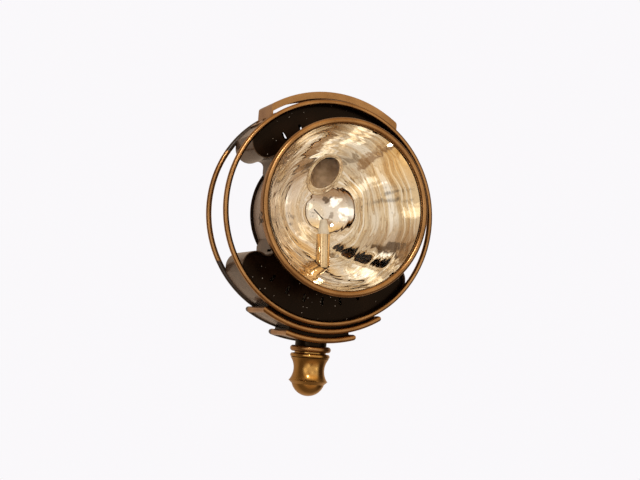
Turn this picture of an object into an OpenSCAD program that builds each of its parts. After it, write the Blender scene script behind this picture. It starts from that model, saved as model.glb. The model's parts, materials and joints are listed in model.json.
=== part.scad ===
/* [Casing] */
// Outside diameter of the front and the rear hoop
hoop_d = 239.6; // [236:0.2:242]
// Distance between the centres of the two hoops
casing_depth = 58; // [56:1:62]
// Outside diameter of the drum in the middle of the casing
drum_d = 137; // [135:1:138]
// Width of the upper and the lower housing
housing_w = 187; // [184:1:190]
// Thickness of the sheet metal
sheet = 1; // [0.8:0.1:1.1]
/* [Head] */
// Outside diameter of the bezel
bezel_d = 184; // [183:1:188]
// Distance from the front hoop forward to the middle of the bezel's bead
head_reach = 44; // [42:1:48]
// How far the head's axis lies to the left of the casing's axis
head_left = 1.8; // [0:0.1:3]
// How far the head's axis lies above the casing's axis
head_up = 2.2; // [0:0.1:3]
// Gap between the reflector and the neck of the shell that it sits in
bowl_gap = 4.75; // [4.5:0.05:5]
// Diameter of the burner tube
burner_d = 14.6; // [12:0.1:15]
/* [Foot] */
// Height of the collar, from its seat up to the middle of the small step's plate
collar_h = 7; // [5:0.1:10]
// Diameter of the bracket stud
stud_d = 12.7; // [10:0.1:14]
/* [Hidden] */
$fn = 180;
fit = 0.05;
rod = 5.8;
rod_seat = 2;
hoop_y = casing_depth / 2;
hoop_mid_r = (hoop_d - rod) / 2;
band_r = hoop_mid_r + sheet / 2;
band_y = hoop_y - rod_seat;
plate_recess = 7;
front_plate_y = -hoop_y + plate_recess;
rear_plate_recess = 6;
rear_plate_y = hoop_y - rear_plate_recess;
half_w = housing_w / 2;
drum_r = drum_d / 2;
lobe_r = 15.5;
lobe_x = half_w - lobe_r;
lobe_overlap = 2;
neck_x = 60.5;
// Length of a neck, from the drum out to the middle of its notches
neck_l = 13.5;
// How far a notch reaches in under the lobe next to it
notch_tuck = 5;
notch_r = (lobe_x - lobe_r - neck_x) / 2 + notch_tuck;
notch_x = neck_x + notch_r;
notch_z = sqrt(pow(drum_r, 2) - pow(neck_x, 2)) + neck_l;
lobe_z = notch_z + sqrt(pow(lobe_r + notch_r, 2) - pow(lobe_x - notch_x, 2));
// How far the seams between band and ends lie inwards of the lobes' centres
seam_in = 6.5;
seam_z = lobe_z - seam_in;
slot_count = 7;
slot_step = 12.5;
slot_r = 94;
slot_l = 9;
slot_w = 3.4;
neck_slot_l = 12;
neck_slot_w = 2.6;
neck_slot_y = -13;
window_w = 96;
// How far the drum's windows end inwards of its front and of its rear
window_in = [7, 8];
cover_bead_r = 2.6;
cover_gap = 0.2;
bezel_r = bezel_d / 2;
bead_r = 3.4;
bead_mid_r = bezel_r - bead_r;
bead_y = -hoop_y - head_reach;
skirt_in = 2;
skirt_r = bezel_r - skirt_in;
skirt_t = 1.4;
skirt_l = 11;
glass_in = 5;
glass_r = bezel_r - glass_in;
glass_gap = 0.2;
glass_t = 2;
glass_back = 0.6;
glass_y = bead_y + glass_back;
wire_t = 1;
wire_w = 1.3;
clip_w = 1;
clip_a = [72, 192, 312];
clip_half_a = 2;
shell_in = 4.5;
shell_r = bezel_r - shell_in;
shell_wall = 0.8;
bowl_wall = 0.8;
bowl_rim_w = 1.5;
bowl_r = shell_r - bowl_rim_w;
// Gap behind the wire that holds the glass
wire_gap = 0.4;
bowl_front_y = glass_y + glass_t + wire_t + wire_gap;
shell_front_y = bowl_front_y + bowl_wall;
shell_rim_l = 12.2;
shell_cone_y = shell_front_y + shell_rim_l;
neck_step = 6;
shell_neck_r = drum_r - neck_step;
shell_neck_y = front_plate_y;
// The reflector is as deep as the neck of the shell lets it be
focal_length = (pow(bowl_r, 2) - pow(shell_neck_r - bowl_gap, 2)) / (4 * (shell_neck_y - bowl_front_y));
bowl_apex_y = bowl_front_y + pow(bowl_r, 2) / (4 * focal_length);
// Room behind the reflector, inside the drum
drum_back = 8.4;
drum_rear_y = bowl_apex_y + drum_back;
window_y = [front_plate_y + window_in[0], drum_rear_y - window_in[1]];
shell_bulge = [4.5, 15];
shell_lap = 6;
shell_gap = 0.4;
chimney_in = 23.6;
chimney_y = bowl_apex_y - chimney_in;
chimney_up = 60;
chimney_r = 15.6;
chimney_lip = 3;
chimney_lip_t = 0.7;
burner_in = 36.6;
burner_y = bowl_apex_y - burner_in;
burner_lean = 3.6;
burner_top = -25;
burner_foot = 4;
tip_base_r = 6.3;
tip_top_r = 3.4;
tip_h = 15.5;
tip_plug = 3;
wire_r = 0.6;
wire_l = 15;
wire_lean = 47;
pipe_in = 6;
pipe_drop = shell_neck_r - pipe_in;
pipe_r = 3.5;
pipe_wall = 1;
pipe_start_y = burner_y + burner_d / 2 - 2 * sheet;
nipple_r = 4;
nipple_l = 17;
nut_r = 8;
nut_l = 7;
nipple_y = drum_rear_y + sheet + nut_l;
// The raised middle of the rear cover ends short of the nut
nut_gap = 6.5;
cover_step_r = pipe_drop - nut_r - nut_gap;
hinge_out = 1.2;
hinge_x = bezel_r + hinge_out;
hinge_back = 12;
hinge_y = bead_y + hinge_back;
hinge_leaf_back = 6;
hinge_leaf_t = 1.6;
knuckle_r = 3.2;
knuckle_z = [5.8, 6.1, 14];
hinge_pin_r = 1.5;
hinge_pin_head_r = 2.4;
hinge_pin_head_h = 1.2;
catch_lean = 14.8;
catch_swing = 40;
catch_back = 14.5;
catch_y = bead_y + catch_back;
catch_post_r = 2.2;
catch_pin_r = 1.2;
catch_t = 0.8;
catch_gap = 0.35;
hook_eye_r = 2.4;
hook_w = 1.8;
hook_x = 2.2;
hook_l = 11;
keeper_x = 1.8;
keeper_y = -8.7;
keeper_up = 1.4;
hood_up = 12.2;
hood_r = band_r + hood_up;
hood_w = 145.6;
hood_t = 1.6;
hood_y = 21;
hood_bend = 4;
hood_bend_x = hood_w / 2 - hood_bend;
hood_bend_z = sqrt(pow(hood_r - hood_bend, 2) - pow(hood_bend_x, 2));
// Depth of the hood's front and rear flange
hood_flange = [7.1, 5];
foot_l = 7.4;
foot_end_a = acos((hood_w / 2 + foot_l) / band_r);
rivet_out = 2.8;
rivet_a = acos((hood_w / 2 + rivet_out) / band_r);
rivet_y = 10;
rivet_r = 1.3;
rivet_head_r = 2.35;
rivet_head_h = 1.7;
rivet_dome_r = (pow(rivet_head_r, 2) + pow(rivet_head_h, 2)) / (2 * rivet_head_h);
vent_a = [63, 83, 103];
vent_span = 14;
vent_y = 14;
step_bead_r = 3.2;
step_panel_t = 3;
large_step_drop = 7.7;
small_step_drop = 9.4;
// The large and the small step below the casing, in this order in each pair
step_r = [band_r + large_step_drop, band_r + large_step_drop + small_step_drop];
step_half_a = [30.6, 15.8];
step_front_in = [0, 2];
step_rear_in = [1, 4];
step_front_y = [for (in = step_front_in) in - hoop_y];
step_rear_y = [for (in = step_rear_in) hoop_y - in];
// How far a spacer ends inside the middle of the step's end beads, and of its front bead
spacer_in = [1, 4.4];
axis_h = step_r[1] + collar_h;
collar_r = 16.8;
ring_r = 21.8;
ring_h = 6.4;
cap_gap = 1.6;
cap_r = 21.1;
cap_lip = 4.8;
// How far the lip and the flange stand out over the ends of the cove between them
cove_in = [0.5, 0.4];
cap_waist_r = 16.4;
cap_flange_r = 20.9;
cap_flange_edge = 0.8;
cap_flange_z = -37;
cap_dome_z = -40.5;
dome_r = 18;
dome_up = 5.3;
stud_rise = 4;
stud_top = axis_h - band_r + stud_rise;
stud_end = -27;
stud_head_r = 10;
stud_head_h = 5;
// Direction of the foot, counted upwards from the right-hand side
down_a = -90;
far = 400;

// Helpers: y is the lamp's axis, so outlines are drawn in x and z and pushed along y
module at_axis() translate([0, 0, axis_h]) children();

module at_head() translate([-head_left, 0, axis_h + head_up]) children();

module slab(y0, y1) translate([0, y1, 0]) rotate([90, 0, 0]) linear_extrude(y1 - y0) children();

// Turns a profile drawn as radius and y about the lamp's axis
module turned() rotate([-90, 0, 0]) rotate_extrude() children();

// The same between two angles, counted upwards from the right-hand side
module turned_part(a0, a1) rotate([0, -a0, 0]) rotate([90, 0, 0])
  rotate_extrude(angle = a1 - a0) mirror([0, 1]) children();

module upper_or_lower(side) if (side > 0) children(); else mirror([0, 0, 1]) children();

module left_or_right(side) if (side > 0) children(); else mirror([1, 0, 0]) children();

// Profile rectangle between two radii and two y values
module section(r0, r1, y0, y1) translate([r0, y0]) square([r1 - r0, y1 - y0]);

module ring_band(r0, r1, y0, y1) slab(y0, y1) difference() {
  circle(r = r1);
  circle(r = r0);
}

// Outline of one housing with its lobes, notches and neck, moved inwards by inset
module housing_outline(inset = 0) intersection() {
  circle(r = band_r - inset);
  union() {
    translate([-half_w + inset, lobe_z]) square([2 * (half_w - inset), band_r]);
    difference() {
      neck_outline(inset);
      for (s = [-1, 1]) translate([s * notch_x, notch_z]) circle(r = notch_r + inset);
    }
    for (s = [-1, 1]) translate([s * lobe_x, lobe_z]) circle(r = lobe_r - inset);
  }
}

module neck_outline(inset) polygon([
  [-neck_x + inset, 0], [neck_x - inset, 0], [neck_x - inset, notch_z], [notch_x, notch_z],
  [lobe_x, lobe_z], [lobe_x, lobe_z + lobe_overlap], [-lobe_x, lobe_z + lobe_overlap],
  [-lobe_x, lobe_z], [-notch_x, notch_z], [-neck_x + inset, notch_z]
]);

// Sheet that runs round the edge of a housing, from the drum over both lobes
module housing_wall() difference() {
  housing_outline();
  housing_outline(sheet);
  circle(r = drum_r);
}

module part_of_wall(x0, x1, z0, z1) intersection() {
  housing_wall();
  translate([x0, z0]) square([x1 - x0, z1 - z0]);
}

module housing_band(side) at_axis() upper_or_lower(side)
  slab(-band_y, band_y) part_of_wall(-band_r, band_r, seam_z, band_r);

module housing_end(side, across) at_axis() upper_or_lower(side) left_or_right(across)
  slab(-band_y, band_y) part_of_wall(notch_x, half_w, 0, seam_z);

// Wall of a neck, with its slot, cut clear of the head's shell and of the rear cover's rolled edge
module neck_wall(side, across) difference() {
  at_axis() upper_or_lower(side) left_or_right(across) difference() {
    slab(-band_y, band_y) part_of_wall(0, notch_x, 0, seam_z);
    translate([neck_x, neck_slot_y, notch_z])
      cube([4 * sheet, neck_slot_l, neck_slot_w], center = true);
  }
  at_head() turned() polygon(concat(
    [[0, shell_neck_y]], shell_curve(-shell_gap), [[0, shell_cone_y]]
  ));
  at_axis() slab(drum_rear_y, hoop_y) circle(r = drum_r + sheet / 2 + cover_bead_r + cover_gap);
}

// Flat plate inside the edge of a housing, with its row of radial vents
module housing_plate(side, y, vents = slot_count) at_axis() upper_or_lower(side)
  slab(y, y + sheet) difference() {
    housing_outline(sheet);
    circle(r = drum_r);
    for (i = [0:1:vents - 1]) rotate(90 + (i - (slot_count - 1) / 2) * slot_step)
      translate([slot_r, 0]) vent_slot();
  }

module vent_slot() {
  square([slot_l - slot_w, slot_w], center = true);
  for (s = [-1, 1]) translate([s * (slot_l - slot_w) / 2, 0]) circle(d = slot_w);
}

// Round rod with a groove that takes the edge of the housings' sheet
module hoop(side) color("peru") difference() {
  at_axis() turned() translate([hoop_mid_r, side * hoop_y]) circle(d = rod);
  for (s = [-1, 1]) at_axis() upper_or_lower(s) slab(-band_y, band_y) housing_wall();
}

module front_hoop() hoop(-1);

module rear_hoop() hoop(1);

module upper_band() color("black") difference() {
  housing_band(1);
  at_axis() for (a = vent_a) turned_part(a, a + vent_span)
    section(band_r - 4 * sheet, band_r + sheet, -vent_y, vent_y);
  at_rivets() cylinder(r = rivet_r, h = 4 * rivet_head_r, center = true);
}

module lower_band() color("black") difference() {
  housing_band(-1);
  stud_hole();
}

module upper_left_end() color("dimgray") housing_end(1, -1);

module upper_right_end() color("dimgray") housing_end(1, 1);

module lower_left_end() color("dimgray") housing_end(-1, -1);

module lower_right_end() color("dimgray") housing_end(-1, 1);

module upper_left_neck() color("gray") neck_wall(1, -1);

module upper_right_neck() color("gray") neck_wall(1, 1);

module lower_left_neck() color("gray") neck_wall(-1, -1);

module lower_right_neck() color("gray") neck_wall(-1, 1);

module upper_front_plate() color("black") housing_plate(1, front_plate_y);

module lower_front_plate() color("black") housing_plate(-1, front_plate_y);

module upper_rear_plate() color("black") housing_plate(1, rear_plate_y);

module lower_rear_plate() color("black") housing_plate(-1, rear_plate_y, 0);

// Drum with a window into each neck, through which the air passes
module drum_shell() color("dimgray") at_axis() difference() {
  ring_band(drum_r - sheet, drum_r, front_plate_y, drum_rear_y);
  translate([-window_w / 2, window_y[0], -drum_d])
    cube([window_w, window_y[1] - window_y[0], 2 * drum_d]);
}

module drum_front() color("black") difference() {
  at_axis() slab(front_plate_y, front_plate_y + sheet) circle(r = drum_r - sheet);
  at_head() slab(front_plate_y - sheet, front_plate_y + 2 * sheet) circle(r = shell_neck_r);
}

// Pressed cover with a rolled edge that closes the back of the drum
module rear_cover() color("black") difference() {
  at_axis() turned() {
    section(0, cover_step_r, drum_rear_y + 2 * sheet, drum_rear_y + 3 * sheet);
    section(cover_step_r - sheet, cover_step_r, drum_rear_y, drum_rear_y + 3 * sheet);
    section(cover_step_r - sheet, drum_r, drum_rear_y, drum_rear_y + sheet);
    difference() {
      translate([drum_r + sheet / 2, drum_rear_y + sheet / 2]) circle(r = cover_bead_r);
      section(0, drum_r + 2 * cover_bead_r, drum_rear_y - 2 * cover_bead_r, drum_rear_y);
    }
  }
  at_pipe(0) cylinder(r = pipe_r, h = far);
}

// Curve of the head shell from its neck to its rim, as radius and y
function shell_point(s) = let (
    start = [shell_neck_r, shell_neck_y],
    middle = [shell_r - shell_bulge[0], shell_neck_y - shell_bulge[1]],
    end = [shell_r, shell_cone_y]
  ) (1 - s) * (1 - s) * start + 2 * s * (1 - s) * middle + s * s * end;

function shell_curve(in = 0) = [for (i = [0:12]) shell_point(i / 12) - [in, in]];

// Spun shell that carries the reflector and the door
module head_shell() color("black") at_head() turned() polygon(concat(
  [[shell_neck_r, shell_neck_y + shell_lap]],
  shell_curve(),
  [[shell_r, shell_front_y], [shell_r - shell_wall, shell_front_y]],
  [for (i = [12:-1:0]) shell_curve(shell_wall)[i]],
  [[shell_neck_r - shell_wall, shell_neck_y + shell_lap]]
));

// Depth of the reflector's inside at radius r, as a y value
function bowl_y(r) = bowl_front_y + (bowl_r * bowl_r - r * r) / (4 * focal_length);

bowl_steps = 40;

function bowl_curve(out = 0) = [for (i = [0:bowl_steps]) let (r = bowl_r * i / bowl_steps)
  [r, bowl_y(r) + out * sqrt(1 + pow(r / (2 * focal_length), 2))]];

// Solid filling of the reflector, used to trim what ends on its surface
module bowl_filling(in = 0) at_head() turned() polygon(concat(
  [[0, bowl_front_y - 1]], [[bowl_r, bowl_front_y - 1]],
  [for (i = [bowl_steps:-1:0]) bowl_curve(-in)[i]]
));

module reflector() color("gold") difference() {
  at_head() turned() {
    polygon(concat(
      bowl_curve(), [for (i = [bowl_steps:-1:0]) bowl_curve(bowl_wall)[i]]
    ));
    section(bowl_r, shell_r, bowl_front_y, shell_front_y);
  }
  at_chimney() cylinder(r = chimney_r, h = far);
  at_burner() cylinder(d = burner_d + 2 * fit, h = burner_top + pipe_drop, center = true);
}

module at_chimney() at_head() translate([0, chimney_y, 0]) children();

module chimney_tube() color("sienna") difference() {
  at_chimney() cylinder(r = chimney_r, h = chimney_up);
  at_chimney() cylinder(r = chimney_r - sheet, h = far, center = true);
  bowl_filling();
}

module chimney_lip_ring() color("gold") difference() {
  intersection() {
    at_chimney() cylinder(r = chimney_r + chimney_lip, h = far);
    bowl_filling();
  }
  bowl_filling(chimney_lip_t);
  at_chimney() cylinder(r = chimney_r - sheet, h = far, center = true);
}

// Foot of the burner, where the gas pipe comes in
module at_burner() at_head() translate([0, burner_y, -pipe_drop]) rotate([0, -burner_lean, 0])
  children();

module burner_tube() color("goldenrod") difference() {
  at_burner() translate([0, 0, -burner_foot])
    cylinder(d = burner_d, h = burner_top + pipe_drop + burner_foot);
  at_burner() translate([0, 0, sheet - burner_foot]) cylinder(d = burner_d - 2 * sheet, h = far);
  at_pipe(pipe_start_y) cylinder(r = pipe_r, h = far);
}

module burner_tip() color("linen") at_burner() translate([0, 0, burner_top + pipe_drop]) {
  cylinder(r1 = tip_base_r, r2 = tip_top_r, h = tip_h);
  translate([0, 0, -tip_plug]) cylinder(d = burner_d - 2 * sheet, h = tip_plug);
}

module burner_wire() color("black") at_burner() translate([0, 0, burner_top + pipe_drop + tip_h])
  difference() {
    rotate([0, -wire_lean, 0]) cylinder(r = wire_r, h = wire_l);
    translate([0, 0, -tip_h]) cylinder(r = tip_base_r, h = tip_h);
  }

// Axis of the gas pipe, which runs straight back below the reflector
module at_pipe(y) at_head() translate([0, y, -pipe_drop]) rotate([-90, 0, 0]) children();

module tube(r, wall, l) difference() {
  cylinder(r = r, h = l);
  translate([0, 0, -1]) cylinder(r = r - wall, h = l + 2);
}

module gas_pipe() color("goldenrod") at_pipe(pipe_start_y)
  tube(pipe_r, pipe_wall, nipple_y - pipe_start_y);

module gas_nipple() color("goldenrod") at_pipe(nipple_y) tube(nipple_r, pipe_wall, nipple_l);

module gas_nut() color("goldenrod") at_pipe(drum_rear_y + sheet) difference() {
  cylinder(r = nut_r, h = nut_l, $fn = 6);
  translate([0, 0, -1]) cylinder(r = pipe_r, h = far);
}

// Door: a round bead with a rabbet for the glass and a skirt over the shell
module bezel() color("peru") at_head() turned() difference() {
  union() {
    translate([bead_mid_r, bead_y]) circle(r = bead_r);
    section(skirt_r - skirt_t, skirt_r, bead_y, bead_y + skirt_l);
  }
  section(0, glass_r + glass_gap, glass_y, bead_y + skirt_l);
}

module glass() color("lightcyan", 0.4) at_head() slab(glass_y, glass_y + glass_t) circle(r = glass_r);

module glass_wire() color("peru") at_head()
  ring_band(glass_r - wire_w, glass_r + glass_gap / 2, glass_y + glass_t, glass_y + glass_t + wire_t);

module glass_clips() color("peru") at_head() for (a = clip_a) turned_part(a - clip_half_a, a + clip_half_a)
  section(glass_r - wire_w - clip_w, glass_r - wire_w, glass_y + glass_t, glass_y + glass_t + wire_t);

module knuckle(z0, z1) translate([hinge_x, hinge_y, z0]) cylinder(r = knuckle_r, h = z1 - z0);

module door_hinge() color("peru") at_head() difference() {
  union() {
    knuckle(-knuckle_z[0], knuckle_z[0]);
    translate([skirt_r - 1, bead_y + hinge_leaf_back, -knuckle_z[0]])
      cube([hinge_x - skirt_r + 1, hinge_back - hinge_leaf_back, 2 * knuckle_z[0]]);
  }
  turned() section(0, skirt_r, bead_y - 1, bead_y + far);
  translate([hinge_x, hinge_y]) cylinder(r = hinge_pin_r + fit, h = far, center = true);
}

module casing_hinge() color("black") at_head() difference() {
  for (s = [-1, 1]) upper_or_lower(s) {
    knuckle(knuckle_z[1], knuckle_z[2]);
    translate([shell_r - 1, hinge_y - hinge_leaf_t / 2, knuckle_z[1]])
      cube([hinge_x - shell_r + 1, hinge_leaf_t, knuckle_z[2] - knuckle_z[1]]);
  }
  turned() section(0, shell_r, bead_y - 1, bead_y + far);
  translate([hinge_x, hinge_y]) cylinder(r = hinge_pin_r, h = far, center = true);
}

module hinge_pin() color("goldenrod") at_head() translate([hinge_x, hinge_y, 0]) {
  cylinder(r = hinge_pin_r, h = 2 * knuckle_z[2], center = true);
  for (s = [-1, 1]) upper_or_lower(s) translate([0, 0, knuckle_z[2]])
    cylinder(r1 = hinge_pin_head_r, r2 = hinge_pin_r, h = hinge_pin_head_h);
}

// Left side of the head, where the catch sits: local z points outwards
module at_catch() at_head() rotate([0, -catch_lean, 0]) translate([0, catch_y, 0])
  rotate([0, -90, 0]) children();

module catch_keeper() color("peru") difference() {
  at_catch() translate([-keeper_x, keeper_y, skirt_r - 1]) cube([2 * keeper_x, sheet, 1 + keeper_up]);
  at_head() turned() section(0, skirt_r, bead_y - 1, bead_y + far);
}

module catch_post() color("goldenrod") difference() {
  at_catch() translate([0, 0, shell_r - 1]) {
    cylinder(r = catch_post_r, h = 1 + skirt_r - shell_r + catch_gap - fit);
    cylinder(r = catch_pin_r, h = 1 + skirt_r - shell_r + catch_gap + 2 * catch_t);
    translate([0, 0, 1 + skirt_r - shell_r + catch_gap + catch_t + fit])
      cylinder(r = catch_post_r, h = catch_t);
  }
  at_head() turned() section(0, shell_r, bead_y - 1, bead_y + far);
}

// Hook that swings over the keeper, drawn in its open position
module catch_hook() color("goldenrod") at_catch() rotate([0, 0, catch_swing])
  translate([0, 0, skirt_r + catch_gap]) linear_extrude(catch_t) difference() {
    union() {
      circle(r = hook_eye_r);
      translate([0, -hook_w]) square([hook_x + hook_w, 2 * hook_w]);
      translate([hook_x, -hook_l]) square([hook_w, hook_l]);
      translate([-hook_w, -hook_l]) square([hook_x + 2 * hook_w, hook_w]);
      translate([-hook_w / 2, 0]) square([hook_w, 2 * hook_eye_r]);
    }
    circle(r = catch_pin_r + fit);
  }

// Outline of the hood with its two bends, moved inwards by inset
module hood_outline(inset = 0) {
  intersection() {
    circle(r = hood_r - inset);
    polygon([[0, 0], 2 * [hood_bend_x, hood_bend_z], 2 * [-hood_bend_x, hood_bend_z]]);
  }
  for (s = [-1, 1]) translate([s * hood_bend_x, hood_bend_z]) circle(r = hood_bend - inset);
  translate([-hood_w / 2 + inset, 0]) square([hood_w - 2 * inset, hood_bend_z]);
}

module at_rivets() at_axis() for (s = [-1, 1], y = [-rivet_y, rivet_y])
  translate([0, y, 0]) rotate([0, s * (90 - rivet_a), 0]) translate([0, 0, band_r]) children();

// Band of metal from which the hood's feet remain, outside its legs
module hood_feet() intersection() {
  circle(r = band_r + hood_t);
  polygon([
    [0, 0], 2 * hood_r * [cos(foot_end_a), sin(foot_end_a)],
    2 * hood_r * [-cos(foot_end_a), sin(foot_end_a)]
  ]);
}

// Flange that turns down from one edge of the hood towards the hoop
module hood_flange(y0, y1, h) slab(y0, y1) difference() {
  hood_outline();
  circle(r = hood_r - h);
}

module vent_hood() color("peru") difference() {
  at_axis() {
    slab(-hood_y, hood_y) difference() {
      union() {
        hood_outline();
        hood_feet();
      }
      hood_outline(hood_t);
      circle(r = band_r);
    }
    hood_flange(-hood_y, -hood_y + hood_t, hood_flange[0]);
    hood_flange(hood_y - hood_t, hood_y, hood_flange[1]);
  }
  at_rivets() cylinder(r = rivet_r, h = 4 * rivet_head_r, center = true);
}

module hood_rivets() color("goldenrod") at_rivets() {
  translate([0, 0, -sheet]) cylinder(r = rivet_r, h = sheet + hood_t);
  rotate_extrude() intersection() {
    translate([0, hood_t + rivet_head_h - rivet_dome_r]) circle(r = rivet_dome_r);
    translate([0, hood_t]) square([rivet_head_r, rivet_head_h]);
  }
}

// One sector of a curved bar below the casing, between two radii
module step_sector(r0, r1, half_a, y0, y1) turned_part(down_a - half_a, down_a + half_a)
  section(r0, r1, y0, y1);

// Y values of the middle of a step's front and rear bead
function step_ys(i) = [step_front_y[i] + step_bead_r, step_rear_y[i] - step_bead_r];

// Round bead that frames a step, with a mitre on each corner
module step_bead(i) {
  ys = step_ys(i);
  for (y = ys) turned_part(down_a - step_half_a[i], down_a + step_half_a[i])
    translate([step_r[i], y]) circle(r = step_bead_r);
  for (s = [-1, 1]) rotate([0, s * step_half_a[i], 0]) translate([0, ys[0], -step_r[i]]) {
    rotate([-90, 0, 0]) cylinder(r = step_bead_r, h = ys[1] - ys[0]);
    for (y = [0, ys[1] - ys[0]]) translate([0, y, 0]) step_mitre();
  }
}

module step_mitre() intersection() {
  rotate([90, 0, 0]) cylinder(r = step_bead_r + fit, h = 4 * step_bead_r, center = true);
  rotate([0, 90, 0]) cylinder(r = step_bead_r, h = 4 * step_bead_r, center = true);
}

module step_rim(i) at_axis() step_bead(i);

module step_panel(i) difference() {
  at_axis() difference() {
    step_sector(step_r[i] - step_panel_t / 2, step_r[i] + step_panel_t / 2, step_half_a[i],
      step_ys(i)[0], step_ys(i)[1]);
    step_bead(i);
  }
  stud_hole();
}

// Spacer above a step, which sits on the step's panel inside the bead
module step_spacer(i, from_r) difference() {
  at_axis() difference() {
    step_sector(from_r, step_r[i] - step_panel_t / 2,
      step_half_a[i] - spacer_in[0] / step_r[i] * 180 / PI,
      step_ys(i)[0] + spacer_in[1], step_ys(i)[1] - spacer_in[0]);
    step_bead(i);
  }
  stud_hole();
}

module large_step_spacer() color("black") step_spacer(0, band_r);

module large_step_rim() color("peru") step_rim(0);

module large_step_panel() color("dimgray") step_panel(0);

module small_step_spacer() color("black") step_spacer(1, step_r[0] + step_panel_t / 2);

module small_step_rim() color("peru") step_rim(1);

module small_step_panel() color("dimgray") step_panel(1);

module stud_hole() cylinder(d = stud_d, h = axis_h / 2);

module neck_collar() color("black") difference() {
  cylinder(r = collar_r, h = collar_h);
  at_axis() slab(-2 * collar_r, 2 * collar_r) circle(r = step_r[1] + step_panel_t / 2);
  translate([0, 0, -1]) stud_hole();
}

// Stud that holds a bracket's eye against the collar, with its head inside the lower housing
module bracket_stud() color("silver") {
  translate([0, 0, stud_end]) cylinder(d = stud_d, h = stud_top - stud_end);
  intersection() {
    translate([0, 0, stud_top - stud_head_h]) cylinder(r = stud_head_r, h = stud_head_h);
    at_axis() slab(-2 * stud_head_r, 2 * stud_head_r) circle(r = band_r - sheet);
  }
}

module clamp_ring() color("peru") translate([0, 0, -ring_h]) rotate_extrude() {
  translate([ring_r - ring_h / 2, ring_h / 2]) circle(d = ring_h);
  translate([stud_d / 2 + fit, 0]) square([ring_r - ring_h / 2 - stud_d / 2 - fit, ring_h]);
}

// Profile of the turned cap nut: lip, hollow waist, flange and dome
module finial_profile() {
  cove_depth = cap_flange_r - cove_in[1] - cap_waist_r;
  cove_r = (pow(cove_depth, 2) + pow(cove_h / 2, 2)) / (2 * cove_depth);
  difference() {
    union() {
      translate([0, cap_flange_z]) square([cap_flange_r, lip_z - cap_flange_z]);
      translate([0, lip_z]) square([cap_r - cap_lip / 2, cap_lip]);
      translate([cap_r - cap_lip / 2, lip_z + cap_lip / 2]) circle(d = cap_lip);
    }
    translate([cap_waist_r + cove_r, (lip_z + cap_flange_z) / 2]) circle(r = cove_r);
    translate([cap_r - cove_in[0], cap_flange_z + cap_flange_edge]) square([cap_r, cove_h - cap_flange_edge]);
  }
  polygon([
    [0, cap_flange_z], [cap_flange_r, cap_flange_z],
    [cap_flange_r - cap_flange_edge, cap_flange_z - cap_flange_edge],
    [cap_dome_r, cap_dome_z], [0, cap_dome_z]
  ]);
  intersection() {
    translate([0, cap_dome_z + dome_up]) circle(r = dome_r);
    translate([0, cap_dome_z - dome_r]) square([dome_r, dome_r]);
  }
}

lip_z = -ring_h - cap_gap - cap_lip;
cove_h = lip_z - cap_flange_z;
cap_dome_r = sqrt(dome_r * dome_r - dome_up * dome_up);

module finial() color("goldenrod") difference() {
  union() {
    rotate_extrude() finial_profile();
    translate([0, 0, -ring_h - cap_gap]) cylinder(r = collar_r, h = cap_gap);
  }
  translate([0, 0, stud_end - 2]) cylinder(d = stud_d + 2 * fit, h = far);
}

front_hoop();
rear_hoop();
upper_band();
lower_band();
upper_left_end();
upper_right_end();
lower_left_end();
lower_right_end();
upper_left_neck();
upper_right_neck();
lower_left_neck();
lower_right_neck();
upper_front_plate();
lower_front_plate();
upper_rear_plate();
lower_rear_plate();
drum_shell();
drum_front();
rear_cover();
head_shell();
reflector();
chimney_tube();
chimney_lip_ring();
burner_tube();
burner_tip();
burner_wire();
gas_pipe();
gas_nipple();
gas_nut();
bezel();
glass();
glass_wire();
glass_clips();
door_hinge();
casing_hinge();
hinge_pin();
catch_keeper();
catch_post();
catch_hook();
vent_hood();
hood_rivets();
large_step_spacer();
large_step_rim();
large_step_panel();
small_step_spacer();
small_step_rim();
small_step_panel();
neck_collar();
bracket_stud();
clamp_ring();
finial();
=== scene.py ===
# %% [markdown]
# This lesson dresses an old acetylene headlamp. Its solids come from a CAD program and stay as they are:
# the script gives them finishes, remakes the few pieces that need a finer surface, and lights the whole.
# The lamp's front looks along -Y, +Z is up, and every length in the script is in metres.

# %% Load the lamp's solids
import json
from math import cos, exp, pi, radians, sin, sqrt
from random import Random

import bpy
from mathutils import Matrix, Vector


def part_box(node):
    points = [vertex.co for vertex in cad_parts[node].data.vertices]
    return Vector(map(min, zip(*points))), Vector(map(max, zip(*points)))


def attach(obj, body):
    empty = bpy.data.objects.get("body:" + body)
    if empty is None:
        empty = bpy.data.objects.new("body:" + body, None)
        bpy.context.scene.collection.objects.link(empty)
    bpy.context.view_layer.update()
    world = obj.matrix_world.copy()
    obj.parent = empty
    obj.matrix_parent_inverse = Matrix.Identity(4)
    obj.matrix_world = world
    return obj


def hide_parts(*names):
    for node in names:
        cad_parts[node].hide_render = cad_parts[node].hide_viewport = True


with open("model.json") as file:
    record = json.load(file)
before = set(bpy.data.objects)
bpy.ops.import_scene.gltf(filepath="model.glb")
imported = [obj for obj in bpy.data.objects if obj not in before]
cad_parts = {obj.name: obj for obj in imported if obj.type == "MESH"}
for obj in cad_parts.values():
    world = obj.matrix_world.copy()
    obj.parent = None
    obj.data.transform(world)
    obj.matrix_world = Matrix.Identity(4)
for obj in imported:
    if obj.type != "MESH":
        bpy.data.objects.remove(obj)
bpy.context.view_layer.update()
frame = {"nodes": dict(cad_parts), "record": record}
nodes = frame["nodes"]

# %% [markdown]
# The places that several cells share come from the solids themselves. The hoops tell where the casing's
# axis is, and the bezel tells where the head's axis is: it sits a little off the casing's.

# %% Measure the axes
def middle(node):
    low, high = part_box(node)
    return (low + high) / 2


front_hoop = middle("front_hoop")
hoops = (front_hoop + middle("rear_hoop")) / 2
bezel = middle("bezel")
print("hoops' centre:", hoops, "bezel's centre:", bezel)

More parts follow.
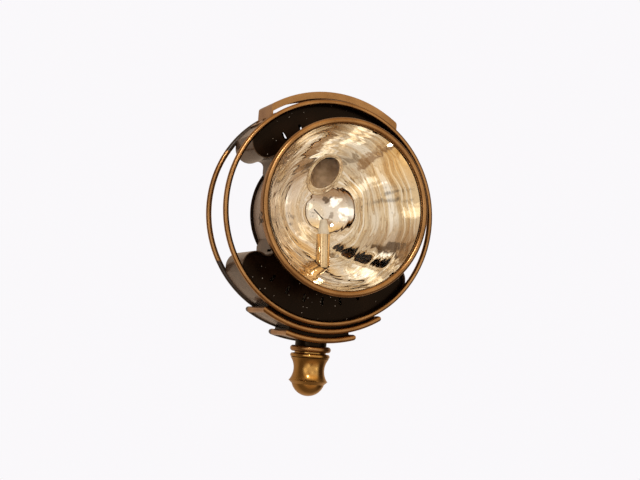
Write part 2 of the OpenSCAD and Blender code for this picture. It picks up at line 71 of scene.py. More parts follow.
# %% [markdown]
# The camera stands to the lamp's left and a little below it, about 1.2 m away. A camera can be aimed by a
# Track To constraint, but here its axes are worked out, so that its small tilt is exact. A camera looks
# against its third axis, and the three axes and its place are the four columns of its matrix.

# %% Camera
def way_to(turn, rise):
    """The direction at turn degrees to the right of the lamp's front, and rise degrees above level."""
    turn, rise = radians(turn), radians(rise)
    return Vector((sin(turn) * cos(rise), -cos(turn) * cos(rise), sin(rise)))


view_turn = -22.6
view_rise = -5.0
view_tilt = radians(4.4)
view_distance = 1.193
aim_right = -0.0099
aim_up = -0.0298
sensor = 36
focal_pixels = 1131.5
frame_width = 640

towards = way_to(view_turn, view_rise)
right = Vector((cos(radians(view_turn)), sin(radians(view_turn)), 0))
up = towards.cross(right)
tilted_right = right * cos(view_tilt) + up * sin(view_tilt)
tilted_up = up * cos(view_tilt) - right * sin(view_tilt)
place = front_hoop + right * aim_right + up * aim_up + towards * view_distance

camera = bpy.data.objects.new("camera", bpy.data.cameras.new("camera"))
bpy.context.scene.collection.objects.link(camera)
camera.data.sensor_width = sensor
camera.data.lens = sensor * focal_pixels / frame_width
camera.matrix_world = Matrix((*zip(tilted_right, tilted_up, towards, place), (0, 0, 0, 1)))
bpy.context.scene.camera = camera
print("camera at", place, "lens", camera.data.lens)

# %% [markdown]
# Every finish here is a small tree of nodes, and linking them by hand takes many lines. The first helper
# makes a node and fills or links its inputs. On top of it come a soft random pattern, a fade from one range
# of values to another, and a blend of two colours. A pattern follows the place on the lamp in metres, so a
# scale of 26 gives clouds about 4 cm wide.

# %% Helpers for node trees
def add(tree, kind, inputs=None, **settings):
    made = tree.nodes.new(kind)
    for name, value in settings.items():
        setattr(made, name, value)
    for socket, value in (inputs or {}).items():
        if isinstance(value, bpy.types.NodeSocket):
            tree.links.new(value, made.inputs[socket])
        else:
            made.inputs[socket].default_value = value
    return made


def place_on(tree):
    return add(tree, "ShaderNodeTexCoord").outputs["Object"]


def split(tree, vector):
    """The x, y and z of a vector, as sockets 0, 1 and 2."""
    return add(tree, "ShaderNodeSeparateXYZ", {0: vector}).outputs


def pattern(tree, scale, detail, at=None):
    inputs = {"Vector": at or place_on(tree), "Scale": scale, "Detail": detail}
    return add(tree, "ShaderNodeTexNoise", inputs).outputs["Fac"]


def fade(tree, value, start, end, low=0.0, high=1.0):
    """Low where the value is at the start of its range, high at the end, and held outside the range."""
    inputs = {"Value": value, "From Min": start, "From Max": end, "To Min": low, "To Max": high}
    return add(tree, "ShaderNodeMapRange", inputs).outputs["Result"]


def opaque(colour):
    return colour if isinstance(colour, bpy.types.NodeSocket) else (*colour, 1)


def blend_colour(tree, share, a, b):
    """Colour a where the share is 0, and b where it is 1. A Mix node keeps them in sockets 6 and 7."""
    inputs = {0: share, 6: opaque(a), 7: opaque(b)}
    return add(tree, "ShaderNodeMix", inputs, data_type="RGBA").outputs[2]


def maths(tree, operation, a, b=0.0):
    return add(tree, "ShaderNodeMath", {0: a, 1: b}, operation=operation).outputs[0]


def times(tree, a, b):
    return maths(tree, "MULTIPLY", a, b)


print("node helpers: add, place_on, split, pattern, fade, opaque, blend_colour, maths, times")

# %% [markdown]
# A finish is a Principled shader and what feeds it. Its colour and roughness are linked, because they vary
# over a surface, and what is the same all over is set on the shader's own sockets. Corners get a darker
# colour, which is painted shade together with grime. The Ambient Occlusion node finds them: it tells how
# much of the sky a point sees, when only things within a short reach can hide it.

# %% Helpers for finishes
def new_finish(name):
    material = bpy.data.materials.new(name)
    material.use_nodes = True
    tree = material.node_tree
    tree.nodes.clear()
    return material, tree


def close_finish(tree, height, depth, strength, **sockets):
    """Adds the bump, the shader and the output. A socket's name has _ for each space."""
    bump = add(tree, "ShaderNodeBump", {"Height": height, "Distance": depth, "Strength": strength})
    inputs = {name.replace("_", " "): value for name, value in sockets.items()}
    shader = add(tree, "ShaderNodeBsdfPrincipled", {**inputs, "Normal": bump.outputs["Normal"]})
    add(tree, "ShaderNodeOutputMaterial", {"Surface": shader.outputs[0]})


def open_sky(tree, reach, samples):
    return add(tree, "ShaderNodeAmbientOcclusion", {"Distance": reach}, samples=samples).outputs["AO"]


# Painted shade together with grime: corners that see little sky get a darker colour
def corner_shade_and_grime(tree, reach):
    """1 deep in corners and 0 in the open."""
    return fade(tree, open_sky(tree, reach, 8), 0.95, 0.55)


print("finish helpers: new_finish, close_finish, open_sky, grime")

# %% [markdown]
# Old brass isn't one colour. Hands and weather have browned it in soft clouds, with small dark spots, and
# its corners get a darker colour that is painted shade together with grime. A noise that is squeezed along z
# gives the bump its fine level scratches. Where a piece was painted over, the paint takes the brass's place,
# and it isn't a metal.

# %% Aged brass
brass_shade_and_grime = (0.030, 0.013, 0.006)
old_paint = (0.035, 0.022, 0.015)
spot_shade = 0.45


def aged_brass(name, bright, brown, dull, painted=None, wear=0.12, shade_and_grime_reach=0.0022):
    """Dull is the middle roughness, and painted is a function that gives the paint's share of a place."""
    material, tree = new_finish(name)
    clouds = fade(tree, pattern(tree, 26, 6), 0.38, 0.66)
    spots = fade(tree, pattern(tree, 620, 3), 0.60, 0.72)
    tone = blend_colour(tree, clouds, bright, brown)
    tone = blend_colour(tree, times(tree, spots, 0.5), tone, tuple(spot_shade * c for c in brown))
    # Corners take a darker colour: painted shade, together with grime
    tone = blend_colour(tree, corner_shade_and_grime(tree, shade_and_grime_reach), tone, brass_shade_and_grime)
    rough = fade(tree, pattern(tree, 90, 5), 0.3, 0.7, dull - 0.07, dull + 0.09)
    metal = 1.0
    if painted:
        share = painted(tree)
        tone = blend_colour(tree, share, tone, old_paint)
        metal = maths(tree, "SUBTRACT", 1.0, share)
    squeezed = add(tree, "ShaderNodeMapping", {"Vector": place_on(tree), "Scale": (1, 1, 9)}).outputs[0]
    scratches = pattern(tree, 380, 5, squeezed)
    close_finish(tree, scratches, 0.0002, wear, Base_Color=tone, Metallic=metal, Roughness=rough)
    return material


burner_brass = aged_brass("burner_brass", (0.82, 0.63, 0.40), (0.62, 0.40, 0.18), 0.14)
print("brass for the burner:", burner_brass.name)

# %% [markdown]
# The rear hoop was painted together with the air housings and is bare where it runs free of them. The rims
# of the two steps are painted on the bead at their back and bare before it. Such a limit is a place on the
# lamp, so a fade along one coordinate draws it.

# %% Paint on the brass
bare_reach = 0.058
hoop_paint_edge = 0.002
rim_bead = 0.0064
rim_paint_edge = 0.0006


def painted_on_housings(tree):
    height = split(tree, place_on(tree))[2]
    from_middle = maths(tree, "ABSOLUTE", maths(tree, "SUBTRACT", height, hoops.z))
    return fade(tree, from_middle, bare_reach, bare_reach + hoop_paint_edge)


def painted_at_back(rim):
    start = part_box(rim)[1].y - rim_bead

    def share(tree):
        return fade(tree, split(tree, place_on(tree))[1], start, start + rim_paint_edge)
    return share


print("bare brass within", bare_reach, "of the hoops' centre, up and down")

# %% [markdown]
# One browned brass serves most pieces. The turned nut at the foot is brighter, smoother and more golden,
# because hands have rubbed it, and the rivets are darker. The bezel and the nut are narrow and round, so
# their painted shade and grime reach less far out of the corners.

# %% Brass finishes
browned = ((0.46, 0.25, 0.10), (0.30, 0.15, 0.055), 0.27)
browned_brass = aged_brass("browned_brass", *browned)
rear_hoop_brass = aged_brass("rear_hoop_brass", *browned, painted_on_housings)
large_rim_brass = aged_brass("large_rim_brass", *browned, painted_at_back("large_step_rim"))
small_rim_brass = aged_brass("small_rim_brass", *browned, painted_at_back("small_step_rim"))
turned_brass = aged_brass("turned_brass", (0.56, 0.32, 0.10), (0.40, 0.21, 0.055), 0.20,
                          wear=0.03, shade_and_grime_reach=0.0008)
bezel_brass = aged_brass("bezel_brass", *browned, shade_and_grime_reach=0.0006)
rivet_brass = aged_brass("rivet_brass", (0.24, 0.13, 0.055), (0.14, 0.07, 0.03), 0.25)
print("brass finishes:", browned_brass.name, rear_hoop_brass.name, large_rim_brass.name,
      small_rim_brass.name, turned_brass.name, bezel_brass.name, rivet_brass.name)

# %% [markdown]
# The casing is stove-enamelled, and a century of dust lies on it as pale specks. A Voronoi pattern gives a
# round cell for each speck, and each cell's own random colour tells whether its speck is there. The warm
# specular tint keeps the sheen from turning blue. Where a pale colour, as bare metal, is painted in as light
# in a shaded place, it is found as the paint on the brass is.

# %% Enamel
enamel_shade_and_grime = (0.004, 0.002, 0.001)
enamel_shade_and_grime_reach = 0.003
slot_light_colour = (0.75, 0.62, 0.48)
pale_dust = (0.85, 0.78, 0.70)
warm_sheen = (1.0, 0.72, 0.50, 1.0)


def dust_specks(tree, share, scale):
    cells = add(tree, "ShaderNodeTexVoronoi", {"Vector": place_on(tree), "Scale": scale})
    near = fade(tree, cells.outputs["Distance"], 0.05, 0.11, 1, 0)
    chance_of_cell = add(tree, "ShaderNodeSeparateColor", {0: cells.outputs["Color"]}).outputs[0]
    return times(tree, near, fade(tree, chance_of_cell, 1 - share, 1 - share / 2))


def enamel(name, colour, warm, dull, dust, gloss, speck=pale_dust, speck_scale=210.0, painted_light_share=None):
    """Dull is the middle roughness, and dust is the share of cells that have a speck."""
    material, tree = new_finish(name)
    specks = dust_specks(tree, dust, speck_scale)
    clouds = fade(tree, pattern(tree, 35, 5), 0.4, 0.65)
    tone = blend_colour(tree, clouds, colour, warm)
    tone = blend_colour(tree, times(tree, specks, 0.8), tone, speck)
    # A pale colour, as bare metal, painted in as light where the surface lies in shade
    if painted_light_share:
        tone = blend_colour(tree, painted_light_share(tree), tone, slot_light_colour)
    # Corners take a darker colour: painted shade, together with grime
    tone = blend_colour(tree, corner_shade_and_grime(tree, enamel_shade_and_grime_reach), tone, enamel_shade_and_grime)
    rough = fade(tree, pattern(tree, 130, 5), 0.3, 0.7, dull - 0.06, dull + 0.08)
    close_finish(tree, pattern(tree, 240, 3), 0.0001, 0.08, Base_Color=tone, Roughness=rough,
                 Specular_IOR_Level=gloss, Specular_Tint=warm_sheen)
    return material


black_enamel = enamel("black_enamel", (0.005, 0.0018, 0.0008), (0.013, 0.0052, 0.0021), 0.26, 0.80, 0.13,
                      speck_scale=190.0)
print("enamel for the faces:", black_enamel.name)

# %% [markdown]
# The faces are nearly black but warm, and the sides are brown. The panels of the steps are paler, and so is
# the drum, whose colour is painted lighter to make up for the shade that falls on it between the hoops; the
# drum is dustier too. The lower rear plate is pale on its inner side, as bare metal: painted light in the
# shade inside the housing, which one sees through the slots of the front plate. The rear cover is chipped.

# %% Enamel finishes
paint_depth = 0.0002
slot_light_edge = 0.0001
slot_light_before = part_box("lower_rear_plate")[1].y - paint_depth


# The plate's inner side is pale as bare metal: painted light in the housing's shade, seen through the slots
def slot_light_inside(tree):
    return fade(tree, split(tree, place_on(tree))[1], slot_light_before, slot_light_before - slot_light_edge)


plate_enamel = enamel("plate_enamel", (0.006, 0.0022, 0.0009), (0.016, 0.0065, 0.0025), 0.26, 0.10, 0.16,
                      painted_light_share=slot_light_inside)
side_enamel = enamel("side_enamel", (0.110, 0.066, 0.042), (0.065, 0.038, 0.024), 0.20, 0.05, 0.34)
panel_enamel = enamel("panel_enamel", (0.185, 0.118, 0.078), (0.130, 0.080, 0.052), 0.24, 0.05, 0.35)
# The drum's colour is painted lighter than its enamel, to make up for the shade it stands in between the
# hoops
drum_enamel_painted_light = enamel("drum_enamel_painted_light", (0.35, 0.26, 0.195), (0.265, 0.187, 0.137), 0.24, 0.20, 0.35,
                     (0.66, 0.57, 0.48), 260.0)
chipped_enamel = enamel("chipped_enamel", (0.020, 0.010, 0.006), (0.010, 0.005, 0.003), 0.30, 0.55, 0.25,
                        (0.62, 0.55, 0.47), 330.0)
print("enamels:", plate_enamel.name, side_enamel.name, panel_enamel.name, drum_enamel_painted_light.name,
      chipped_enamel.name)

# %% [markdown]
# The reflector is spun brass with a silver coat. Silver tarnishes to straw, then brown, and the spinning
# tool leaves fine rings, so the colour, the roughness and the bump run in rings round the head's axis. A
# pattern makes rings when it is read along the radius alone. The middle is calmer than the rest and has
# neither rings nor bump.

# %% Silvered finish
clean_silver = (0.84, 0.79, 0.72)
straw_silver = (0.78, 0.63, 0.43)
arc_shine = (0.99, 0.97, 0.94)
arc_tarnish = (0.44, 0.32, 0.18)
line_shine = (0.97, 0.95, 0.90)
line_tarnish = (0.55, 0.40, 0.24)
calm_silver = (0.90, 0.84, 0.79)
calm_straw = (0.84, 0.70, 0.52)
spot_brown = (0.24, 0.16, 0.10)
ring_wander = 0.020
tarnish_level = 0.56


def radius_on(tree, centred):
    """Distance from the head's axis, with a slow wander, so that no ring is perfect."""
    parts = split(tree, centred)
    squares = maths(tree, "ADD", times(tree, parts[0], parts[0]), times(tree, parts[2], parts[2]))
    wander = times(tree, pattern(tree, 14, 2, centred), ring_wander)
    return maths(tree, "ADD", maths(tree, "POWER", squares, 0.5), wander)


def silvered(name):
    material, tree = new_finish(name)
    centred = add(tree, "ShaderNodeVectorMath", {0: place_on(tree), 1: (-bezel.x, 0, -bezel.z)}).outputs[0]
    radius = radius_on(tree, centred)
    ring_place = add(tree, "ShaderNodeCombineXYZ", {0: radius}).outputs[0]
    zones = pattern(tree, 95, 2, ring_place)
    arcs = pattern(tree, 130, 1.5, ring_place)
    lines = pattern(tree, 620, 3, ring_place)
    clouds = pattern(tree, 15, 3, centred)
    straw = fade(tree, maths(tree, "ADD", clouds, times(tree, zones, 0.8)), 0.76, 1.06)
    tone = blend_colour(tree, straw, clean_silver, straw_silver)
    tone = blend_colour(tree, fade(tree, arcs, 0.455, 0.425, 0, 0.95), tone, arc_shine)
    from_level = maths(tree, "ABSOLUTE", maths(tree, "SUBTRACT", arcs, tarnish_level))
    tone = blend_colour(tree, fade(tree, from_level, 0.035, 0.010, 0, 0.45), tone, arc_tarnish)
    tone = blend_colour(tree, fade(tree, lines, 0.56, 0.64, 0, 0.75), tone, line_tarnish)
    tone = blend_colour(tree, fade(tree, lines, 0.44, 0.36, 0, 0.8), tone, line_shine)
    past_middle = fade(tree, radius, 0.044, 0.054)
    calm = blend_colour(tree, straw, calm_silver, calm_straw)
    tone = blend_colour(tree, past_middle, calm, tone)
    spots = fade(tree, pattern(tree, 300, 3, centred), 0.67, 0.74)
    tone = blend_colour(tree, times(tree, spots, 0.6), tone, spot_brown)
    rough = fade(tree, zones, 0.35, 0.65, 0.012, 0.04)
    waves = times(tree, maths(tree, "SUBTRACT", arcs, 0.5), past_middle)
    close_finish(tree, waves, 0.0006, 1.0, Base_Color=tone, Metallic=1.0, Roughness=rough)
    return material


silver = silvered("tarnished_silver")
print("reflector finish:", silver.name)

# %% [markdown]
# The small parts: brown heated copper in the chimney and the duller silver of its ring, pale stone for the
# burner's tip, burnt iron wire and plain steel. They differ only in their colours and in how dull and how
# metallic they are, so one function makes them all.

# %% Small finishes
def plain_stuff(name, light, dark, metal, dull, grain):
    material, tree = new_finish(name)
    tone = blend_colour(tree, fade(tree, pattern(tree, grain, 6), 0.35, 0.68), light, dark)
    rough = fade(tree, pattern(tree, 3 * grain, 4), 0.3, 0.7, dull - 0.08, dull + 0.08)
    close_finish(tree, pattern(tree, 4 * grain, 4), 0.0001, 0.2,
                 Base_Color=tone, Metallic=metal, Roughness=rough)
    return material


heated_copper = plain_stuff("heated_copper", (0.62, 0.44, 0.28), (0.38, 0.25, 0.15), 0.3, 0.5, 160)
ring_silver = plain_stuff("ring_silver", (0.96, 0.85, 0.67), (0.72, 0.57, 0.40), 1.0, 0.15, 120)
burner_stone = plain_stuff("burner_stone", (0.92, 0.86, 0.75), (0.80, 0.71, 0.58), 0.0, 0.6, 240)
burnt_iron = plain_stuff("burnt_iron", (0.030, 0.020, 0.014), (0.012, 0.009, 0.007), 0.5, 0.6, 900)
stud_steel = plain_stuff("stud_steel", (0.42, 0.41, 0.39), (0.28, 0.27, 0.26), 1.0, 0.35, 200)
print("small finishes:", heated_copper.name, ring_silver.name, burner_stone.name, burnt_iron.name,
      stud_steel.name)

# %% [markdown]
# The front glass is flat and thin. A full glass shader would need many light bounces to see the reflector
# through it, so the glass is mostly a transparent shader with a little gloss, and a faint film of dust. The
# Fresnel node gives more gloss where one looks along the glass.

# %% Glass
def clear_glass(name):
    material, tree = new_finish(name)
    gloss = add(tree, "ShaderNodeBsdfGlossy", {"Roughness": 0.02, "Color": (1, 1, 1, 1)})
    through = add(tree, "ShaderNodeBsdfTransparent", {"Color": (0.985, 0.985, 0.975, 1)})
    film = add(tree, "ShaderNodeBsdfDiffuse", {"Color": (0.85, 0.82, 0.76, 1)})
    edge = add(tree, "ShaderNodeFresnel", {"IOR": 1.12})
    inputs = {0: edge.outputs[0], 1: through.outputs[0], 2: gloss.outputs[0]}
    clear = add(tree, "ShaderNodeMixShader", inputs)
    dust = fade(tree, pattern(tree, 40, 6), 0.45, 0.8, 0.0, 0.035)
    whole = add(tree, "ShaderNodeMixShader", {0: dust, 1: clear.outputs[0], 2: film.outputs[0]})
    add(tree, "ShaderNodeOutputMaterial", {"Surface": whole.outputs[0]})
    return material


glass_finish = clear_glass("front_glass")
print("glass finish:", glass_finish.name)

# %% [markdown]
# Each solid has a slot in the lamp's record, and each slot has its finish. Some solids take a finish of
# their own instead, where the real piece is paler, darker or half painted.

# %% Which finish goes where
finishes = {
    "aged_brass": browned_brass, "gold_brass": turned_brass, "black_japan": black_enamel,
    "side_enamel": side_enamel, "silvered_bowl": silver, "heated_copper": heated_copper,
    "clear_glass": glass_finish, "steatite": burner_stone, "burnt_wire": burnt_iron,
    "stud_steel": stud_steel,
}
own_finish = {
    "rear_hoop": rear_hoop_brass, "large_step_rim": large_rim_brass, "small_step_rim": small_rim_brass,
    "bezel": bezel_brass, "glass_wire": bezel_brass, "hood_rivets": rivet_brass,
    "burner_tube": burner_brass, "rear_cover": chipped_enamel, "drum_shell": drum_enamel_painted_light,
    "catch_hook": drum_enamel_painted_light, "catch_post": drum_enamel_painted_light, "catch_keeper": drum_enamel_painted_light,
    "lower_rear_plate": plate_enamel, "large_step_panel": panel_enamel, "small_step_panel": panel_enamel,
}
slot_of = {entry["node"]: entry["material_slot"] for entry in frame["record"]["subparts"]}
print("slots:", len(finishes), "solids with their own finish:", len(own_finish))

# %% [markdown]
# A round solid is stored with small flats. Smooth shading hides them, and edges where two faces meet at more
# than the given angle stay sharp.

# %% Dress the solids
sharp_from = radians(32)


def dress(piece, material):
    piece.data.materials.clear()
    piece.data.materials.append(material)


def smooth(piece):
    piece.data.shade_smooth()
    piece.data.set_sharp_from_angle(angle=sharp_from)


for name, solid in nodes.items():
    dress(solid, own_finish.get(name, finishes[slot_of[name]]))
    smooth(solid)
print("dressed", len(nodes), "solids")

# %% [markdown]
# The reflector is remade, because a mirror shows every flat of its mesh. Its bowl is a parabola turned about
# the head's axis, which sends the flame's light straight ahead. It takes its width and its place from the
# solid that it stands for.

# %% Shape of the bowl
reflector_low, reflector_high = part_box("reflector")
focal_length = 0.0216
bowl_wall = 0.0008
rim_width = 0.0015
rim_r = (reflector_high.x - reflector_low.x) / 2
bowl_r = rim_r - rim_width
bowl_front_y = reflector_low.y


def bowl_curve(r):
    return bowl_front_y + (bowl_r ** 2 - r * r) / (4 * focal_length)


print("bowl radius:", bowl_r, "bowl depth:", bowl_curve(0) - bowl_front_y)

# %% [markdown]
# The real bowl was spun over a form by hand, so it has a slow ripple and many fine marks of the tool, of a
# few hundredths of a millimetre. No ring of them is quite on the axis. All of it dies out at the rim, which
# is flat.

# %% Marks of the spinning tool
# Each ripple has its length, its height, where it starts and how far it runs off centre
ripples = ((0.0310, 0.00003, 0.4, 0.4), (0.0140, 0.000015, 1.7, 0.5))
mark_count = 22
first_mark_r = 0.014
mark_pitch = 0.0032
mark_scatter = 0.0012
mark_drift = 0.0012
chance = Random(5)


def tool_mark(number):
    """Radius, depth, width and where it runs off centre of one mark."""
    r = first_mark_r + mark_pitch * number + chance.uniform(-mark_scatter, mark_scatter)
    depth = chance.choice((-1, 1)) * chance.uniform(0.00001, 0.00003)
    width = chance.uniform(0.0008, 0.0016)
    turn = chance.uniform(0, 2 * pi)
    return r, depth, width, turn


tool_marks = [tool_mark(number) for number in range(mark_count)]
# Three deeper marks run near the rim, where they draw bright thin arcs
tool_marks += [(r, 0.00005, 0.0009, turn) for r, turn in ((0.0600, 0.5), (0.0690, 2.0), (0.0765, 3.6))]


def bowl_depth(r, angle):
    waves = sum(size * sin(2 * pi * r / length + shift + drift * sin(angle + shift))
                for length, size, shift, drift in ripples)
    marks = sum(depth * exp(-((r - at - mark_drift * sin(angle + turn)) / width) ** 2)
                for at, depth, width, turn in tool_marks)
    calm = 1 - (r / bowl_r) ** 10
    return bowl_curve(r) + (waves + marks) * calm


print("tool marks:", len(tool_marks))

# %% [markdown]
# A Screw modifier can turn a profile into a round mesh, but these rings aren't the same all the way round.
# So the mesh is built ring by ring: a row of points for each radius, and a band of faces between two rows.

# %% Turn a mesh
def new_piece(name, points, faces):
    mesh = bpy.data.meshes.new(name)
    mesh.from_pydata(points, [], faces)
    mesh.update()
    piece = bpy.data.objects.new(name, mesh)
    bpy.context.scene.collection.objects.link(piece)
    return piece


def turned_piece(name, rows, steps, centre):
    """Each row gives a radius and a function of radius and angle for y."""
    points = []
    faces = []
    for r, depth in rows:
        for step in range(steps):
            angle = 2 * pi * step / steps
            points.append((centre.x + r * cos(angle), depth(r, angle), centre.z + r * sin(angle)))
    for row in range(len(rows) - 1):
        for step in range(steps):
            after = (step + 1) % steps
            faces.append((row * steps + step, row * steps + after,
                          (row + 1) * steps + after, (row + 1) * steps + step))
    return new_piece(name, points, faces)


print("mesh helpers: new_piece, turned_piece")

# %% [markdown]
# The rows run down the inside of the bowl to its middle, back out over its outside and round the flat rim.
# The inside needs many rows, and the outside, which the head's shell hides, makes do with every sixth.

# %% Reflector
ring_steps = 240
turn_steps = 300
smallest_r = 0.0002
outside_thinning = 6


def outer_depth(r, angle):
    return bowl_curve(r) + bowl_wall * sqrt(1 + (r / (2 * focal_length)) ** 2)


def rim_back(r, angle):
    return bowl_front_y + bowl_wall


def rim_front(r, angle):
    return bowl_front_y


radii = [bowl_r * (1 - i / ring_steps) for i in range(ring_steps)] + [smallest_r]
inside = [(r, bowl_depth) for r in radii]
outside = [(r, outer_depth) for r in radii[::-outside_thinning]]
rim = [(bowl_r, rim_back), (rim_r, rim_back), (rim_r, rim_front), (bowl_r, bowl_depth)]
bowl = turned_piece("reflector_bowl", inside + outside + rim, turn_steps, bezel)
print("reflector points:", len(bowl.data.vertices))

# %% [markdown]
# The chimney goes up through the reflector and the burner comes up through it too. Each hole is cut with
# a Boolean modifier by a cylinder that isn't kept.

# %% Holes in the reflector
def cutter(radius, centre, length, lean=0.0):
    bpy.ops.mesh.primitive_cylinder_add(vertices=96, radius=radius, depth=length, location=centre,
                                        rotation=(0, -lean, 0))
    return bpy.context.object


def cut(piece, tool):
    modifier = piece.modifiers.new("hole", "BOOLEAN")
    modifier.operation = "DIFFERENCE"
    modifier.solver = "EXACT"
    modifier.object = tool
    bpy.context.view_layer.objects.active = piece
    bpy.ops.object.modifier_apply(modifier=modifier.name)
    bpy.data.objects.remove(tool)


chimney = middle("chimney_tube")
chimney_low, chimney_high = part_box("chimney_tube")
chimney_r = (chimney_high.x - chimney_low.x) / 2
chimney_cut = 0.12
cut(bowl, cutter(chimney_r, (chimney.x, chimney.y, bezel.z + chimney_cut / 2), chimney_cut))

burner = middle("burner_tube")
burner_low, burner_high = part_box("burner_tube")
burner_r = (burner_high.y - burner_low.y) / 2
burner_gap = 0.00005
burner_cut = 0.03
burner_lean = radians(3.6)
cut(bowl, cutter(burner_r + burner_gap, burner, burner_cut, burner_lean))
print("reflector faces:", len(bowl.data.polygons))

# %% [markdown]
# The new reflector rides on the casing, as its solid does, and stands for that solid. The solid is hidden
# and stays in the lamp's physics.

# %% Put the reflector in
smooth(bowl)
dress(bowl, silver)
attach(bowl, "casing")
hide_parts("reflector")
print("the reflector's place is taken by", bowl.name)

# %% [markdown]
# The chimney's edge is dressed with a bright double ring that follows the curve of the bowl. Its profile is
# a short list of steps out from the hole and up from the bowl, and it's swept round the hole's edge.

# %% Profile of the chimney ring
# Each step of the profile goes this far out from the hole and this far up from the bowl
ring_profile = ((-0.0007, -0.0022), (-0.0007, 0.0003), (-0.0001, 0.0010), (0.0006, 0.0011),
                (0.0011, 0.0006), (0.0018, 0.0002), (0.0024, 0.0006), (0.0029, 0.0008),
                (0.0034, 0.0005), (0.0037, -0.0003))
sweep_steps = 160


def on_bowl(x, y):
    """Height above the head's axis at which the bowl's upper half passes x and y."""
    return sqrt(bowl_r ** 2 - 4 * focal_length * (y - bowl_front_y) - (x - bezel.x) ** 2)


def ring_point(step, out, rise):
    angle = 2 * pi * step / sweep_steps
    x = chimney.x + (chimney_r + out) * cos(angle)
    y = chimney.y + (chimney_r + out) * sin(angle)
    z = on_bowl(x, y)
    inwards = -Vector(((x - bezel.x) / (2 * focal_length), 1, z / (2 * focal_length))).normalized()
    return Vector((x, y, bezel.z + z)) + inwards * rise


print("chimney ring goes out to", chimney_r + ring_profile[-1][0])

# %% [markdown]
# The sweep is a closed band: after the last profile comes the first one again, and after a profile's last
# point comes its first.

# %% Chimney ring
points = [ring_point(step, out, rise) for step in range(sweep_steps) for out, rise in ring_profile]
count = len(ring_profile)
faces = []
for step in range(sweep_steps):
    here = step * count
    there = (step + 1) % sweep_steps * count
    for corner in range(count):
        after = (corner + 1) % count
        faces.append((here + corner, there + corner, there + after, here + after))
chimney_ring = new_piece("chimney_ring", points, faces)
chimney_ring.data.shade_smooth()
dress(chimney_ring, ring_silver)
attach(chimney_ring, "casing")
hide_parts("chimney_lip_ring")
print("chimney ring faces:", len(chimney_ring.data.polygons))

# %% [markdown]
# Few real edges are sharp. A Bevel modifier rounds the shoulder of the burner tube and the edges of its
# stone tip, without a change to the solids.

# %% Rounded edges
def round_edges(name, width):
    bevel = nodes[name].modifiers.new("rounded", "BEVEL")
    bevel.width = width
    bevel.segments = 3
    bevel.limit_method = "ANGLE"
    bevel.angle_limit = radians(40)


round_edges("burner_tube", 0.0008)
round_edges("burner_tip", 0.0006)
print("rounded: burner_tube, burner_tip")

# %% [markdown]
# The floor is a wide sheet well below the lamp, which hangs on its stud. To the camera it is as pale as the
# surroundings, but for a soft shadow under the lamp, which the Ambient Occlusion node finds. To all other
# light it's a plain surface, and mirrors see the room's own light through it, pale or dark by direction.

# %% Floor
pale = (0.955, 0.939, 0.960)
floor_grey = (0.62, 0.60, 0.60)
floor_z = -0.45
floor_size = 60
shadow_reach = 1.0


def pale_surface(name):
    material, tree = new_finish(name)
    rays = add(tree, "ShaderNodeLightPath")
    seen = maths(tree, "MAXIMUM", rays.outputs["Is Camera Ray"], rays.outputs["Is Transmission Ray"])
    light = fade(tree, open_sky(tree, shadow_reach, 32), 0.85, 1.0, 0.55, 1.0)
    glow = add(tree, "ShaderNodeEmission", {"Color": opaque(pale), "Strength": light})
    matt = add(tree, "ShaderNodeBsdfDiffuse", {"Color": opaque(floor_grey)})
    both = add(tree, "ShaderNodeMixShader", {0: seen, 1: matt.outputs[0], 2: glow.outputs[0]})
    through = add(tree, "ShaderNodeBsdfTransparent")
    inputs = {0: rays.outputs["Is Glossy Ray"], 1: both.outputs[0], 2: through.outputs[0]}
    whole = add(tree, "ShaderNodeMixShader", inputs)
    add(tree, "ShaderNodeOutputMaterial", {"Surface": whole.outputs[0]})
    return material


bpy.ops.mesh.primitive_grid_add(x_subdivisions=4, y_subdivisions=4, size=floor_size,
                                location=(0, 0, floor_z))
floor = bpy.context.object
floor.name = "floor"
dress(floor, pale_surface("pale_floor"))
print("floor at", floor_z)

# %% [markdown]
# The brass and the mirror need a room to show. The world's colour follows the direction of a ray, and the
# room has a few soft lights and dark parts in front of the lamp. Each of them is a lobe: it is full inside
# one angle round its direction and gone outside another, and a noise makes its edge uneven. The dot product
# of two directions is the cosine of the angle between them.

# %% Lobes of light
room = bpy.data.worlds.new("room")
bpy.context.scene.world = room
room.use_nodes = True
room_tree = room.node_tree
room_tree.nodes.clear()
direction = add(room_tree, "ShaderNodeTexCoord").outputs["Generated"]
edge_depth = 0.12
edge_noise = maths(room_tree, "SUBTRACT", pattern(room_tree, 5.0, 2.0, direction), 0.5)
uneven = times(room_tree, edge_noise, edge_depth)


def lobe(turn, rise, inner, outer):
    along = add(room_tree, "ShaderNodeVectorMath", {0: direction, 1: way_to(turn, rise)},
                operation="DOT_PRODUCT").outputs["Value"]
    along = maths(room_tree, "ADD", along, uneven)
    return fade(room_tree, along, cos(radians(outer)), cos(radians(inner)))


# Each soft light or dark part of the room has its turn and rise, inner and outer angle, and colour
room_parts = (
    (25, 9, 3, 9, (0.36, 0.32, 0.29)),
    (-18, 25, 3, 9, (0.50, 0.33, 0.20)),
    (-51, -1, 8, 15, (2.1, 2.0, 1.85)),
    (36, -8, 4, 9, (1.7, 1.6, 1.4)),
    (4, 52, 6, 18, (1.4, 1.05, 0.6)),
    (-6, -34, 5, 10, (0.20, 0.135, 0.09)),
    (8, 14, 3, 7, (1.6, 1.5, 1.35)),
    (-30, -24, 6, 13, (1.7, 1.6, 1.45)),
    (-22, 8, 2, 6, (0.50, 0.41, 0.32)),
)
print("soft lights and dark parts of the room:", len(room_parts))

# %% [markdown]
# The rest of the room is brown below, pale in front and golden above, with dark sides and a warm ceiling.
# Behind the lamp it is pale, and brown to mirrors, so that the brass keeps some depth. The camera doesn't
# see this room: to its rays the world is as pale as the floor.

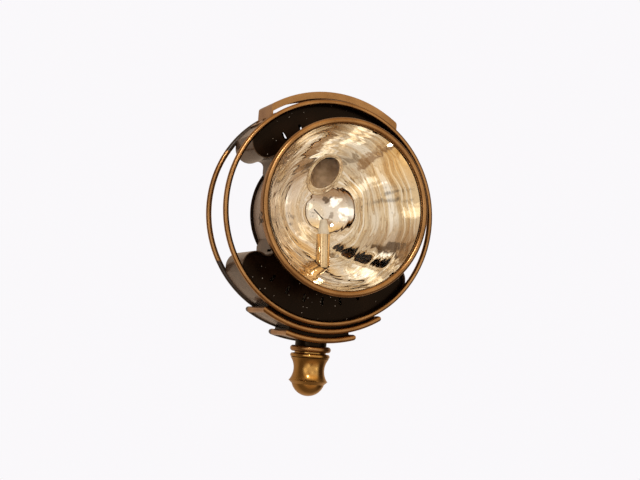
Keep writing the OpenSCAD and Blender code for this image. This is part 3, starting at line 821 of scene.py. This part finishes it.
# %% Room
low_brown = (0.48, 0.31, 0.18)
front_wall = (0.97, 0.86, 0.73)
high_gold = (1.05, 0.72, 0.34)
side_wall = (0.20, 0.140, 0.092)
dark_right = (0.07, 0.045, 0.03)
ceiling = (0.74, 0.57, 0.39)
behind_in_mirrors = (0.60, 0.46, 0.34)

parts = split(room_tree, direction)
wall = blend_colour(room_tree, fade(room_tree, parts[2], -0.65, -0.25), low_brown, front_wall)
wall = blend_colour(room_tree, fade(room_tree, parts[2], 0.30, 0.65), wall, high_gold)
for turn, rise, inner, outer, colour in room_parts:
    wall = blend_colour(room_tree, lobe(turn, rise, inner, outer), wall, colour)
wall = blend_colour(room_tree, fade(room_tree, parts[1], -0.62, -0.36), wall, side_wall)
wall = blend_colour(room_tree, fade(room_tree, parts[0], 0.62, 0.90), wall, dark_right)
wall = blend_colour(room_tree, fade(room_tree, parts[2], 0.70, 0.92), wall, ceiling)
rays = add(room_tree, "ShaderNodeLightPath")
behind = blend_colour(room_tree, rays.outputs["Is Glossy Ray"], pale, behind_in_mirrors)
wall = blend_colour(room_tree, fade(room_tree, parts[1], 0.10, 0.60), wall, behind)
seen = maths(room_tree, "MAXIMUM", rays.outputs["Is Camera Ray"], rays.outputs["Is Transmission Ray"])
shown = blend_colour(room_tree, seen, wall, pale)
sky = add(room_tree, "ShaderNodeBackground", {"Color": shown, "Strength": 1.0})
add(room_tree, "ShaderNodeOutputWorld", {"Surface": sky.outputs[0]})
print("room nodes:", len(room_tree.nodes))

# %% [markdown]
# One small soft box beside the camera gives the brass its few crisp highlights. It is an area light, which
# shines against its own z axis, so that axis points away from the lamp.

# %% Soft box
def softbox(name, turn, rise, distance, size, power):
    light = bpy.data.lights.new(name, "AREA")
    light.shape = "ELLIPSE"
    light.size, light.size_y = size
    light.energy = power
    piece = bpy.data.objects.new(name, light)
    bpy.context.scene.collection.objects.link(piece)
    way = way_to(turn, rise)
    piece.location = hoops + way * distance
    piece.rotation_euler = way.to_track_quat("Z", "Y").to_euler()
    print("soft box at", piece.location)


softbox("camera_light", -26, 32, 1.5, (0.12, 0.16), 4)

# %% [markdown]
# Standard keeps colours as they are written. The sizes of the solids and of the dressed lamp are noted
# side by side, because dressing must not make the lamp bigger.

# %% Finish
bpy.context.scene.view_settings.view_transform = "Standard"
